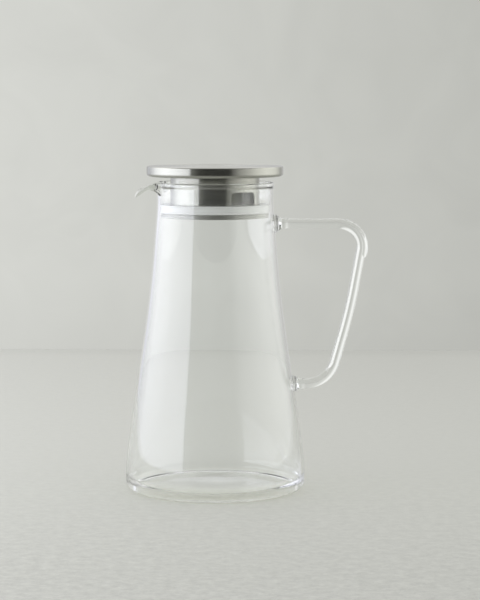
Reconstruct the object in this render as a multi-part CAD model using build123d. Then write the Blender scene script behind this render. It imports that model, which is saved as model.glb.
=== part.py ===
from build123d import *
import math
import os

# A two litre glass jug with a glass rod handle, a pulled pouring lip and a steel lid
# that is held in the neck by a silicone ring. Millimetres, +Z up. The origin is the
# middle of the flat underside, the handle points to +X and the lip to -X.

# Glass body
glass_wall = 2.2
floor_thickness = 3.2
base_radius = 71.2
foot_corner_radius = 7.7
inner_corner_radius = 10.4
skirt_height = 14.0
neck_radius = 46.0
neck_length = 14.5
rim_height = 244.5
rim_edge_radius = 0.9

# The long side of the glass: how far it stands in from the base, at a height above the
# table, and how far it stands out from the neck, at a drop below the rim
cone_points = [(1.9, 36.0), (11.3, 100.0)]
shoulder_points = [(4.3, 70.5), (1.1, 32.5)]

# Pouring lip, pulled out of the rim
lip_half_angle = 28.0
lip_waist_reach = 6.0
lip_waist_half_width = 11.0
lip_tip_half_width = 6.5
lip_tip_corner_radius = 4.0
lip_dish_radius = 140.0
lip_straight_reach = 4.5
lip_bend_radius = 12.0
lip_bend_angle = 78.0

# Handle of glass rod, from the neck down to the cone
rod_diameter = 8.0
upper_bar_drop = 33.0
upper_bar_length = 72.1
lower_bar_height = 84.0
lower_bar_length = 29.4
grip_bow = 3.2
grip_bow_drop = 68.8
top_bend_radius = 18.5
middle_bend_radius = 400.0
low_bend_radius = 24.0
thumb_bead_diameter = 7.5
thumb_bead_stand_out = 1.9
thumb_bead_lead = 24.0
thumb_bead_run = 28.0

# Gathers of glass that melt the rod's ends onto the wall
upper_gather_diameter = 15.0
upper_gather_length = 9.5
lower_gather_diameter = 13.0
lower_gather_length = 7.0
gather_neck_length = 2.0

# Silicone ring that grips the neck
seal_depth = 17.5
seal_height = 6.5
seal_width = 8.0
seal_rib_height = 1.2
seal_rib_depth = 0.5

# Steel lid
steel_sheet = 0.8
collar_flange_width = 5.0
ring_channel_height = 3.8
ring_inset = 1.4
ring_bead_height = 1.6
ring_bead_depth = 0.5
ring_passage_inset = 0.9
cap_gap = 4.5
cap_height = 8.0
cap_overhang = 8.0
cap_top_edge_radius = 1.0
cap_low_edge_radius = 3.2
cap_lip_width = 5.0
liner_clearance = 0.2

# Pouring window and strainer in the collar
window_bearing = -49.5
window_arc = 39.0
window_height = 10.3
window_corner_radius = 2.5
strainer_hole_diameter = 2.6
strainer_pitch = 3.9
strainer_rows = 3
strainer_columns = 7
strainer_lift = 2.4

# Clearances
neck_clearance = 0.3
turning_clearance = 0.3

# Worked out from the sizes above
bore_radius = neck_radius - glass_wall
rod_radius = rod_diameter / 2
upper_bar_height = rim_height - upper_bar_drop
seal_top = rim_height - seal_depth
seal_foot = seal_top - seal_height
seal_radius = bore_radius - neck_clearance
seal_bore_radius = seal_radius - seal_width
collar_radius = seal_bore_radius - turning_clearance
collar_bore_radius = collar_radius - steel_sheet
ring_foot = seal_foot - ring_channel_height
ring_radius = seal_radius - ring_inset
ring_floor = ring_foot + steel_sheet
cap_foot = rim_height + cap_gap
cap_top = cap_foot + cap_height
cap_radius = neck_radius + cap_overhang
cap_skin_radius = cap_radius - steel_sheet
cap_low_edge_inner_radius = cap_low_edge_radius - steel_sheet
liner_radius = cap_skin_radius - cap_low_edge_inner_radius - liner_clearance
liner_foot = cap_foot + steel_sheet
window_foot = seal_top
strainer_row_pitch = strainer_pitch * math.sqrt(3) / 2


def turned(face):
    """Turns a face drawn in the XZ plane about the jug's axis."""
    return revolve(face, axis=Axis.Z)


def turned_ring(inner, outer, foot, top):
    """Makes a plain ring from its two radii and two heights."""
    width = outer - inner
    height = top - foot
    middle = Pos((inner + outer) / 2, (foot + top) / 2)
    return turned(Plane.XZ * (middle * Rectangle(width, height)))


def wall_curve(inset):
    """The long side of the jug, from the skirt to the neck, moved inward by inset."""
    points = [(base_radius, skirt_height)]
    points += [(base_radius - stand_in, height) for stand_in, height in cone_points]
    points += [(neck_radius + stand_out, rim_height - drop) for stand_out, drop in shoulder_points]
    points += [(neck_radius, rim_height - neck_length)]
    moved = [(radius - inset, height) for radius, height in points]
    return Spline(*moved, tangents=[(0, 1), (0, 1)])


def wall_radius_at(height):
    """Finds the outer radius of the long side at a height."""
    curve = wall_curve(0)
    halvings = 40
    low = 0.0
    high = 1.0
    for _ in range(halvings):
        middle = (low + high) / 2
        if (curve @ middle).Y < height:
            low = middle
        else:
            high = middle
    return (curve @ low).X


def turned_wall(inset, foot, corner, top):
    """A solid of revolution under the long side, with a rounded lower corner."""
    side = wall_curve(inset)
    corner_end = (base_radius - inset, foot + corner)
    flat_radius = base_radius - inset - corner
    outline = Polyline((0, top), (0, foot), (flat_radius, foot))
    outline += RadiusArc((flat_radius, foot), corner_end, -corner)
    outline += Line(corner_end, side @ 0)
    outline += side
    outline += Polyline(side @ 1, (neck_radius - inset, top), (0, top))
    return turned(Plane.XZ * make_face(outline))


def outer_form():
    """The jug as if it were solid glass, with the outer half of the rim's rounding."""
    form = turned_wall(0, 0, foot_corner_radius, rim_height)
    rim = form.edges().filter_by(GeomType.CIRCLE).sort_by(Axis.Z)[-1]
    return fillet(rim, rim_edge_radius)


def cavity():
    """The space inside the glass, which runs on up through the rounded rim."""
    space = turned_wall(glass_wall, floor_thickness, inner_corner_radius, rim_height)
    round_start = (bore_radius, rim_height - rim_edge_radius)
    round_end = (bore_radius + rim_edge_radius, rim_height)
    outline = RadiusArc(round_start, round_end, rim_edge_radius)
    outline += Polyline(
        round_end, (round_end[0], cap_foot), (0, cap_foot), (0, round_start[1]), round_start
    )
    return space + turned(Plane.XZ * make_face(outline))


def lip_half_width():
    return neck_radius * math.sin(math.radians(lip_half_angle))


def lip_dish_depth():
    """How far the lip's dished middle lies below its edges where it leaves the rim."""
    half_width = lip_half_width()
    return lip_dish_radius - math.sqrt(lip_dish_radius**2 - half_width**2)


def lip_plan():
    """The lip's outline from above: an S-curve each side, from the rim out to the tip."""
    turn = math.radians(lip_half_angle)
    root = (-neck_radius * math.cos(turn), lip_half_width())
    waist = (-neck_radius - lip_waist_reach, lip_waist_half_width)
    tip = (-neck_radius - lip_straight_reach - lip_bend_radius, lip_tip_half_width)
    along_rim = (-math.sin(turn), -math.cos(turn))
    side = Spline(root, waist, tip, tangents=[along_rim, (-1, 0)])
    outline = side + mirror(side, about=Plane.XZ)
    outline += Line(tip, (tip[0], -tip[1]))
    outline += Line(root, (root[0], -root[1]))
    return make_face(outline)


def lip():
    """The dished tongue of glass that leaves the rim, droops and ends in a round tip."""
    dish_height = rim_height - lip_dish_depth()
    start = (-collar_radius, dish_height)
    bend_start = (-neck_radius - lip_straight_reach, dish_height)
    straight = Line(start, bend_start)
    bend = JernArc(bend_start, (-1, 0), lip_bend_radius, lip_bend_angle)
    path = Plane.XZ * (straight + bend)
    half_width = lip_half_width() + glass_wall
    band = Circle(lip_dish_radius + glass_wall) - Circle(lip_dish_radius)
    band &= Pos(0, -lip_dish_radius) * Rectangle(2 * half_width, lip_dish_radius)
    across = Plane(origin=path @ 0, x_dir=(0, -1, 0), z_dir=(-1, 0, 0))
    tongue = sweep(across * (Pos(0, lip_dish_radius) * band), path=path)
    tongue &= extrude(Pos(0, 0, seal_top) * lip_plan(), rim_height)
    end_face = tongue.faces().sort_by(Axis.Z)[0]
    corners = end_face.edges().sort_by(SortBy.LENGTH)[:2]
    return fillet(corners, lip_tip_corner_radius)


def lip_trough():
    """The shallow round trough that is pressed into the rim behind the lip."""
    height = rim_height - lip_dish_depth() + lip_dish_radius
    trough = Rot(0, -90, 0) * Cylinder(
        lip_dish_radius, neck_radius, align=(Align.CENTER, Align.CENTER, Align.MIN)
    )
    return Pos(0, 0, height) * trough


def glass_body():
    """The blown wall with its rounded rim and its pouring lip."""
    body = outer_form() + lip()
    body -= cavity()
    body -= lip_trough()
    return body


def gather(height, diameter, length):
    """A flared bead of glass from the wall out to the end of the rod."""
    wall = wall_radius_at(height)
    sunk = wall - glass_wall
    tip = wall + length
    flare_start = (wall, diameter / 2)
    flare_end = (tip - gather_neck_length, rod_radius)
    off_the_wall = (1, -2)
    along_the_rod = (1, 0)
    outline = Polyline((tip, 0), (sunk, 0), (sunk, diameter / 2), flare_start)
    outline += Spline(flare_start, flare_end, tangents=[off_the_wall, along_the_rod])
    outline += Polyline(flare_end, (tip, rod_radius), (tip, 0))
    bead = revolve(make_face(outline), axis=Axis.X)
    bead = Pos(0, 0, height) * bead
    return bead - outer_form()


def out_from_wall(height, length):
    """A point of the handle's route at a height, a length out from the wall."""
    return Vector(wall_radius_at(height) + length, height)


def handle_corners():
    """The corners of the rod's route: top, the bow of the grip, and low."""
    top = out_from_wall(upper_bar_height, upper_bar_length)
    low = out_from_wall(lower_bar_height, lower_bar_length)
    share = grip_bow_drop / (upper_bar_height - lower_bar_height)
    bow = top + (low - top) * share + Vector(grip_bow, 0)
    return top, bow, low


def thumb_bead():
    """A second run of glass over the outside of the top bend, ended by a round tip."""
    top, bow, _ = handle_corners()
    along_grip = (bow - top).normalized()
    top += Vector(thumb_bead_stand_out, 0)
    start = top - Vector(thumb_bead_lead, 0)
    end = top + along_grip * thumb_bead_run
    path = Plane.XZ * FilletPolyline(start, top, end, radius=top_bend_radius)
    section = Plane(origin=path @ 0, z_dir=(1, 0, 0)) * Circle(thumb_bead_diameter / 2)
    tip = Pos(*(path @ 1)) * Sphere(thumb_bead_diameter / 2)
    return sweep(section, path=path) + tip


def glass_handle():
    """The bent rod, from one gather to the other, with its thumb bead."""
    route = [
        out_from_wall(upper_bar_height, upper_gather_length),
        *handle_corners(),
        out_from_wall(lower_bar_height, lower_gather_length),
    ]
    bends = [top_bend_radius, middle_bend_radius, low_bend_radius]
    path = Plane.XZ * FilletPolyline(*route, radius=bends)
    section = Plane(origin=path @ 0, z_dir=(1, 0, 0)) * Circle(rod_radius)
    return sweep(section, path=path) + thumb_bead()


def seal_ring():
    """The silicone ring: a grip with two ribs, and a tongue down in the steel channel."""
    grip_radius = seal_radius - seal_rib_depth
    ring = turned_ring(seal_bore_radius, grip_radius, seal_foot, seal_top)
    ring += turned_ring(seal_bore_radius, seal_radius, seal_top - seal_rib_height, seal_top)
    ring += turned_ring(seal_bore_radius, seal_radius, seal_foot, seal_foot + seal_rib_height)
    tongue_radius = ring_radius - steel_sheet - turning_clearance
    tongue_foot = ring_floor + turning_clearance
    ring += turned_ring(seal_bore_radius, tongue_radius, tongue_foot, seal_foot)
    return ring


def base_ring():
    """The steel channel under the silicone ring, with a bead round its lower edge."""
    passage = collar_bore_radius - ring_passage_inset
    ring = turned_ring(passage, ring_radius, ring_foot, ring_floor)
    upstand_bore = ring_radius - steel_sheet
    upstand_top = seal_foot - turning_clearance
    ring += turned_ring(upstand_bore, ring_radius, ring_foot, upstand_top)
    bead_radius = ring_radius + ring_bead_depth
    bead_top = ring_foot + ring_bead_height
    ring += turned_ring(upstand_bore, bead_radius, ring_foot, bead_top)
    return ring


def collar_tube():
    """The plain collar with the inward flange that is welded to the cap."""
    tube = turned_ring(collar_bore_radius, collar_radius, ring_floor, liner_foot)
    flange_bore = collar_bore_radius - collar_flange_width
    tube += turned_ring(flange_bore, collar_bore_radius, liner_foot - steel_sheet, liner_foot)
    return tube


def window_cutter():
    """A block through the collar's wall, as wide as the window's arc, round at the top."""
    width = 2 * collar_radius * math.sin(math.radians(window_arc / 2))
    opening = Pos(0, window_height / 2) * Rectangle(width, window_height)
    opening = fillet(opening.vertices().group_by(Axis.Y)[-1], window_corner_radius)
    facing = Plane(origin=(0, 0, window_foot), x_dir=(0, 1, 0), z_dir=(1, 0, 0))
    block = extrude(facing * opening, collar_radius + steel_sheet)
    return Rot(0, 0, window_bearing) * block


def strainer_cutters():
    """Short round cutters in staggered rows, opposite the window."""
    turn = math.degrees(strainer_pitch / collar_radius)
    pin_length = 4 * steel_sheet
    pin = Rot(0, 90, 0) * Cylinder(strainer_hole_diameter / 2, pin_length)
    cutters = Part()
    for row in range(strainer_rows):
        height = window_foot + strainer_lift + row * strainer_row_pitch
        for column in range(strainer_columns):
            place = column - (strainer_columns - 1) / 2 + (row % 2) / 2
            bearing = window_bearing + 180 + place * turn
            cutters += Rot(0, 0, bearing) * Pos(collar_radius, 0, height) * pin
    return cutters


def pour_collar():
    """The collar with its pouring window and its strainer."""
    return collar_tube() - window_cutter() - strainer_cutters()


def cap_liner():
    """The flat plate that closes the cap from below and carries the collar."""
    return turned_ring(0, liner_radius, liner_foot, liner_foot + steel_sheet)


def lid_cap():
    """The drawn steel cap: flat top, rounded side and an edge turned in underneath."""
    blank = turned_ring(0, cap_radius, cap_foot, cap_top)
    circles = blank.edges().filter_by(GeomType.CIRCLE).sort_by(Axis.Z)
    blank = fillet(circles[-1], cap_top_edge_radius)
    blank = fillet(blank.edges().filter_by(GeomType.CIRCLE).sort_by(Axis.Z)[0], cap_low_edge_radius)
    hollow = turned_ring(0, cap_skin_radius, liner_foot, cap_top - steel_sheet)
    low_circle = hollow.edges().filter_by(GeomType.CIRCLE).sort_by(Axis.Z)[0]
    hollow = fillet(low_circle, cap_low_edge_inner_radius)
    mouth = turned_ring(0, cap_skin_radius - cap_lip_width, cap_foot, liner_foot)
    return blank - hollow - mouth


pieces = {
    "glass_body": glass_body(),
    "glass_handle": glass_handle(),
    "upper_gather": gather(upper_bar_height, upper_gather_diameter, upper_gather_length),
    "lower_gather": gather(lower_bar_height, lower_gather_diameter, lower_gather_length),
    "seal_ring": seal_ring(),
    "base_ring": base_ring(),
    "pour_collar": pour_collar(),
    "cap_liner": cap_liner(),
    "lid_cap": lid_cap(),
}

os.makedirs("parts", exist_ok=True)
for name, piece in pieces.items():
    export_step(piece, f"parts/{name}.step")
    print(name, "solids", len(piece.solids()), "volume", round(piece.volume, 1))
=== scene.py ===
# %% [markdown]
# # A lidded glass jug
#
# The object is a tall tapered jug of clear blown glass with a bent glass rod for a handle,
# a small pouring lip pulled out of its rim, and a flat brushed steel lid. Under the lid a
# steel collar with a pouring window reaches down into the neck, where a milky silicone ring
# holds it. The real object is made of three materials only: clear glass, steel and silicone.
# All of its charm is in how these bend and mirror the light, so most of this lesson is about
# smooth surfaces, honest wall thickness and large soft lamps.
#
# Every piece is built at its real size in metres, around the frame that holds the measured
# model, so that it moves with the right body when the lid turns or lifts.

import math

import bmesh
import bpy
import numpy as np
from mathutils import Matrix, Vector


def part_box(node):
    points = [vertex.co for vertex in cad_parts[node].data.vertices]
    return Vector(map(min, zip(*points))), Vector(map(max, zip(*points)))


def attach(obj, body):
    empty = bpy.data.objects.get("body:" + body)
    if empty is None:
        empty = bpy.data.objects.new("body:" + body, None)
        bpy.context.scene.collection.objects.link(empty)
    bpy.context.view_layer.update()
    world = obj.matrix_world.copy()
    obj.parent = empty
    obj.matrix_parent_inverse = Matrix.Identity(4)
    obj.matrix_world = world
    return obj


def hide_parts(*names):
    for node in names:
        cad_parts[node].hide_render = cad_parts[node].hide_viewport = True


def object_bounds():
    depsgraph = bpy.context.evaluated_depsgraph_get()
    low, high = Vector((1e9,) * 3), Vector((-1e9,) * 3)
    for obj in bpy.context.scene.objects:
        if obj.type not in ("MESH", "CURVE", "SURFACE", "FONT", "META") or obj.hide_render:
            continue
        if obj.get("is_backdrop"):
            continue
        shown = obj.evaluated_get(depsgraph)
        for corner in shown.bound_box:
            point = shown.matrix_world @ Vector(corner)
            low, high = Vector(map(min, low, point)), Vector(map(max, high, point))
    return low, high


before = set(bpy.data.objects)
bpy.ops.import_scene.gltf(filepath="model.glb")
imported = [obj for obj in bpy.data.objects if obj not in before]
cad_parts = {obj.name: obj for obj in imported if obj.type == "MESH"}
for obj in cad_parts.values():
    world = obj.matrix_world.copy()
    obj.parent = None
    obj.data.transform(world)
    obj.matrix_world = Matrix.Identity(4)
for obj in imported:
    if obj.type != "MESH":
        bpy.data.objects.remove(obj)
cad_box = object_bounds()
scene = bpy.context.scene

# %% [markdown]
# ## Sizes
#
# The jug stands on the ground with its axis on Z. The handle points to +X and the lip to -X.
# Sizes that the frame knows, such as the height of the rim, are read from it. Sizes that a box
# can't tell, such as the thickness of the glass, are written once, in the step that first
# needs them.

# %% Sizes from the frame
mm = 0.001
_, glass_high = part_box("glass_body")
seal_low, seal_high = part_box("seal_ring")
ring_low, ring_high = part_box("base_ring")
collar_low, collar_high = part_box("pour_collar")
liner_low, liner_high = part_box("cap_liner")
cap_low, cap_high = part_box("lid_cap")

base_radius = glass_high.y
rim_height = glass_high.z
print("base radius", round(base_radius / mm, 2), "mm, rim at", round(rim_height / mm, 2), "mm")

# %% [markdown]
# ## Camera
#
# The photograph was taken from a low tripod with a long lens: the ellipse of the base is
# flat and the upright lines hardly lean. A camera can be found by trying, but it is quicker
# to measure: the rise of the base's ellipse gives the tilt, and the height of the far edge
# of the table gives the distance. The picture is upright, so the lens is measured against
# its height. Glass lies behind glass here, so a ray may bend and bounce more often than usual
# before it is given up.

# %% Camera
camera_distance = 1.690
camera_height = 0.313
camera_tilt = math.radians(5.48)
camera_turn = math.radians(0.669)
focal_pixels = 2141
picture_height = 600
sensor_height = 36.0
view_depth = 20.0
bounce_limits = ("max_bounces", "glossy_bounces", "transmission_bounces", "transparent_max_bounces")
most_bounces = 32

camera_data = bpy.data.cameras.new("camera")
camera_data.sensor_fit = "VERTICAL"
camera_data.sensor_height = sensor_height
camera_data.lens = focal_pixels * sensor_height / picture_height
camera_data.clip_end = view_depth
camera = bpy.data.objects.new("camera", camera_data)
scene.collection.objects.link(camera)
camera.location = (0, -camera_distance, camera_height)
camera.rotation_euler = (math.radians(90) - camera_tilt, 0, -camera_turn)
scene.camera = camera
scene.view_settings.view_transform = "Standard"
for limit in bounce_limits:
    setattr(scene.cycles, limit, most_bounces)
print("lens", round(camera_data.lens, 1), "mm")

# %% [markdown]
# ## Node helpers
#
# Materials are written as short lists of nodes. One helper adds a node, sets its properties
# and fills its inputs, by a value or by a link. The others do sums and mix colours with it.

# %% Node helpers
def add_node(tree, kind, inputs=None, **properties):
    """Adds a shader node, sets its properties, and fills inputs given by name or number."""
    node = tree.nodes.new(kind)
    for name, value in properties.items():
        setattr(node, name, value)
    for name, value in (inputs or {}).items():
        if isinstance(value, bpy.types.NodeSocket):
            tree.links.new(value, node.inputs[name])
        else:
            node.inputs[name].default_value = value
    return node


def math_node(tree, operation, *values):
    """A Math node with its inputs filled in order; returns its result socket."""
    return add_node(tree, "ShaderNodeMath", dict(enumerate(values)), operation=operation).outputs[0]


def mix_colour(tree, factor, first, second, blend="MIX"):
    """A colour Mix node; first and second are colours or sockets. Returns its result."""
    node = tree.nodes.new("ShaderNodeMix")
    node.data_type = "RGBA"
    node.blend_type = blend
    sockets = {socket.identifier: socket for socket in node.inputs}
    wanted = {"Factor_Float": factor, "A_Color": first, "B_Color": second}
    for identifier, value in wanted.items():
        if isinstance(value, bpy.types.NodeSocket):
            tree.links.new(value, sockets[identifier])
        elif identifier == "Factor_Float":
            sockets[identifier].default_value = value
        else:
            sockets[identifier].default_value = (*value, 1.0)
    return next(socket for socket in node.outputs if socket.identifier == "Result_Color")


# %% [markdown]
# ## What changes from place to place
#
# A finish looks painted on when it is the same all over. Plaster is cloudy, steel is scratched
# and light fades along a wall. A noise gives such changes, and a graded value turns its span
# into the span that a colour or a roughness needs, or grades a shade along a line. A bump
# makes a surface uneven without a change of its shape.

# %% Helpers for uneven finishes
noise_span = (0.3, 0.7)


def graded(tree, value, low, high, at_low=0.0, at_high=1.0):
    """Turns a value from low to high into one from at_low to at_high, and holds both ends."""
    inputs = {"Value": value, "From Min": low, "From Max": high}
    inputs |= {"To Min": at_low, "To Max": at_high}
    return add_node(tree, "ShaderNodeMapRange", inputs).outputs["Result"]


def noise(tree, place, scale, detail, **more):
    """A noise read at a place. Most of its values lie within noise_span."""
    inputs = {"Vector": place, "Scale": scale, "Detail": detail, **more}
    return add_node(tree, "ShaderNodeTexNoise", inputs).outputs["Fac"]


def bumped(tree, height, strength, distance):
    """The direction of a surface that a height makes uneven."""
    inputs = {"Height": height, "Strength": strength, "Distance": distance}
    return add_node(tree, "ShaderNodeBump", inputs).outputs["Normal"]


def shaded(tree, colour, *shades):
    """A colour made lighter or darker by one shade after the other."""
    for shade in shades:
        colour = mix_colour(tree, 1.0, colour, shade, blend="MULTIPLY")
    return colour


def own_place(tree):
    """The place on the object itself, and its three coordinates."""
    place = add_node(tree, "ShaderNodeTexCoord").outputs["Object"]
    return place, *add_node(tree, "ShaderNodeSeparateXYZ", {"Vector": place}).outputs


def new_material(name):
    """A material with only its output node; returns the material, its tree and the output."""
    material = bpy.data.materials.new(name)
    material.use_nodes = True
    material.node_tree.nodes.clear()
    output = material.node_tree.nodes.new("ShaderNodeOutputMaterial")
    return material, material.node_tree, output


# %% [markdown]
# ## Questions to a ray
#
# Clear glass and steel are lit by what stands round them. The Light Path node counts what a
# ray has met since it left the camera, and that lets floor, wall and lamps answer each kind
# of ray in its own way. Three questions are enough. Did the ray go into glass and out of it
# only once, as through the rod or the lip? That counts as one or two bounces, and the jug has
# two walls, so a look through it counts as four. Was the ray only bent there? Or did
# something shiny mirror it?

# %% Questions to a ray
first_bounce = 0.5
in_and_out = (1.5, 1.0)


def product(tree, first, *others):
    """Multiplies any number of values."""
    for other in others:
        first = math_node(tree, "MULTIPLY", first, other)
    return first


def none_of(tree, light_path, depth):
    """1 for a ray that had no bounce of the named kind, otherwise 0."""
    return math_node(tree, "LESS_THAN", light_path.outputs[depth], first_bounce)


def in_thick_glass(tree, light_path):
    """1 for a ray that went into glass once only, as into the rod or the lip, otherwise 0."""
    return math_node(tree, "COMPARE", light_path.outputs["Transmission Depth"], *in_and_out)


def bent_only(tree, light_path):
    """1 for a ray that thick glass has bent and not mirrored, as the handle's rod does."""
    unmirrored = none_of(tree, light_path, "Glossy Depth")
    return product(tree, in_thick_glass(tree, light_path), unmirrored)


def mirrored(tree, light_path):
    """1 for a ray that a shiny surface has mirrored on its way from the camera, otherwise 0."""
    shiny = math_node(tree, "GREATER_THAN", light_path.outputs["Glossy Depth"], first_bounce)
    outside = math_node(tree, "SUBTRACT", 1.0, in_thick_glass(tree, light_path))
    return product(tree, shiny, none_of(tree, light_path, "Diffuse Depth"), outside)


# %% [markdown]
# ## Floor
#
# The jug stands on a pale plastered table. A plain rectangle is enough, with its far edge
# where the photograph has its quiet horizontal line, a little askew as it is there. It lies a
# hair under the glass, because two faces in exactly the same place confuse a renderer.

# %% Floor
floor_far_edge = 0.933
floor_far_slope = -0.042
floor_reach = 4.0
floor_gap = 0.2 * mm

floor_mesh = bpy.data.meshes.new("floor")
far_corners = [(x, floor_far_edge + floor_far_slope * x) for x in (floor_reach, -floor_reach)]
near_corners = [(-floor_reach, -floor_reach), (floor_reach, -floor_reach)]
floor_corners = [(x, y, -floor_gap) for x, y in near_corners + far_corners]
floor_mesh.from_pydata(floor_corners, [], [(0, 1, 2, 3)])
floor = bpy.data.objects.new("floor", floor_mesh)
scene.collection.objects.link(floor)
floor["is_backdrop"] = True
print("floor", floor_reach * 2, "m wide, its far edge is at", floor_far_edge, "m")

# %% [markdown]
# ## Plaster
#
# Cloudy noise in the colour keeps the table from looking like paper. It fades with distance,
# because the lens blurs it there. A bump of fine pits takes the last smoothness away. Painted
# shade makes the table a little darker to the right, in front and along its far edge: its
# colour is multiplied by three graded shades.
#
# A real table ends somewhere, and past its near edge and its sides the steel mirrors the dim
# room. Cutting the table there would show in pictures from other sides. So it stays large, and
# only mirrored rays, and rays that the rod has bent far aside, go through it past those edges.

# %% Plaster
floor_colour = (0.598, 0.602, 0.550)
# Painted shade: three graded shades darken the colour to the right, in front and along the far
# edge.
floor_shade_across = (-0.25, 0.25, 1.06, 0.93)
floor_shade_along = (-0.32, -0.02, 0.93, 1.0)
floor_far_shadow = (0.86, 0.925, 1.0, 0.94)
floor_clouds = {"scale": 120.0, "detail": 6.0, "Roughness": 0.75}
floor_cloud_tones = (0.86, 1.14)
floor_cloud_fade = (-0.35, 0.10, 1.0, 0.15)
floor_pits = {"scale": 120.0, "detail": 4.0}
floor_pit_depth = {"strength": 0.45, "distance": 1.0 * mm}
floor_roughness = 0.75
table_half_width = 0.90
table_near_edge = -0.62
table_half_width_in_glass = 0.20


def past_the_table(tree, x, y, light_path):
    """1 where a ray of the right kind meets the floor past the table's edges, otherwise 0."""
    sideways = math_node(tree, "ABSOLUTE", x)
    beside = math_node(tree, "GREATER_THAN", sideways, table_half_width)
    in_front = math_node(tree, "LESS_THAN", y, table_near_edge)
    past = product(tree, math_node(tree, "MAXIMUM", beside, in_front), mirrored(tree, light_path))
    close_beside = math_node(tree, "GREATER_THAN", sideways, table_half_width_in_glass)
    past_close = product(tree, close_beside, bent_only(tree, light_path))
    return math_node(tree, "MAXIMUM", past, past_close)


def plaster_material():
    """Pale plaster: faint cloudy colour, painted shade, and a soft uneven surface."""
    material, tree, output = new_material("plaster")
    place, x, y, _ = own_place(tree)
    tone = graded(tree, noise(tree, place, **floor_clouds), *noise_span, *floor_cloud_tones)
    near = graded(tree, y, *floor_cloud_fade)
    colour = mix_colour(tree, near, floor_colour, tone, blend="MULTIPLY")
    far_way = math_node(tree, "MULTIPLY_ADD", x, -floor_far_slope, y)
    shades = ((x, floor_shade_across), (y, floor_shade_along), (far_way, floor_far_shadow))
    colour = shaded(tree, colour, *(graded(tree, way, *shade) for way, shade in shades))
    relief = bumped(tree, noise(tree, place, **floor_pits), **floor_pit_depth)
    surface = add_node(
        tree,
        "ShaderNodeBsdfPrincipled",
        {"Base Color": colour, "Roughness": floor_roughness, "Normal": relief},
    )
    past = past_the_table(tree, x, y, add_node(tree, "ShaderNodeLightPath"))
    clear = add_node(tree, "ShaderNodeBsdfTransparent")
    ends = add_node(
        tree, "ShaderNodeMixShader", {0: past, 1: surface.outputs[0], 2: clear.outputs[0]}
    )
    tree.links.new(ends.outputs[0], output.inputs["Surface"])
    return material


floor_mesh.materials.append(plaster_material())
print("floor takes", floor_mesh.materials[0].name)

# %% [markdown]
# ## Surroundings
#
# Glass and steel have hardly any colour of their own: they show the room. In the photograph
# the room has a pale plastered wall behind, a large bright soft light on the left, a weaker
# one on the right, and it is dim on the camera's side. The dim side is what draws the dark
# band down the middle of the steel, so it matters as much as the lamps do.
#
# The wall's colour has painted shade: it is darker to the right and at its foot. Its plaster has
# faint strokes.
# For mirrored rays a plain room is enough: grey levels that go from the dim side in front to
# the wall behind, and a bright ceiling over that wall, which the top of the lid shows. Walls
# could be built all round as well, but then each would need its own lamps.

# %% Wall and room
# Painted shade: the wall is lighter on the left and darker to the right and at its foot.
wall_lit_colour = (0.694, 0.701, 0.665)
wall_shaded_colour = (0.4975, 0.503, 0.470)
wall_shade_change = (-0.15, 0.15)
wall_foot_shade = (-0.120, -0.085, 0.94, 1.0)
wall_strokes = {"scale": 26.0, "detail": 5.0, "Distortion": 1.2}
wall_stroke_tones = (0.98, 1.02)
room_levels = [(0.06, 0.012), (0.12, 0.27), (0.75, 0.60), (1.0, 0.67)]
ceiling_colour = (1.45, 1.45, 1.45)
ceiling_rise = (0.19, 0.50)
ceiling_reach = (0.1, 0.4)


def grey_ramp(tree, value, levels):
    """Grey levels given as pairs of (place from 0 to 1, level), with even changes between."""
    ramp = add_node(tree, "ShaderNodeValToRGB", {"Fac": value})
    steps = ramp.color_ramp.elements
    while len(steps) < len(levels):
        steps.new(0.5)
    for step, (place, level) in zip(steps, levels):
        step.position = place
        step.color = (level, level, level, 1)
    return ramp.outputs["Color"]


def plastered_wall(tree, direction, across, upward):
    """The wall behind the table: painted shade to the right and at its foot, and faint strokes."""
    right = graded(tree, across, *wall_shade_change)
    colour = mix_colour(tree, right, wall_lit_colour, wall_shaded_colour)
    strokes = graded(tree, noise(tree, direction, **wall_strokes), *noise_span, *wall_stroke_tones)
    return shaded(tree, colour, graded(tree, upward, *wall_foot_shade), strokes)


def mirrored_room(tree, along, upward):
    """The room as steel and glass mirror it: dim in front, pale behind, a bright ceiling."""
    room = grey_ramp(tree, math_node(tree, "MULTIPLY_ADD", along, 0.5, 0.5), room_levels)
    overhead = product(
        tree, graded(tree, upward, *ceiling_rise), graded(tree, along, *ceiling_reach)
    )
    return mix_colour(tree, overhead, room, ceiling_colour)


# %% [markdown]
# ## What each ray sees
#
# A world shader can give each kind of ray its own surroundings. Rays from the camera, and
# rays that went through glass, see the wall, and mirrored rays see the room. Rays that thick
# glass has bent see a paler wall at both sides of the jug: a clear rod is a strong lens, and
# this is what gives it its two bright lines. Light that falls on the object from the world is
# an even fill, weaker than the lamps.

# %% Surroundings
fill_colour = (0.70, 0.70, 0.70)
wall_beside_colour = (0.93, 0.935, 0.91)
wall_beside_start = (0.12, 0.26)
wall_beside_end = (0.46, 0.66, 1.0, 0.0)


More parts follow.
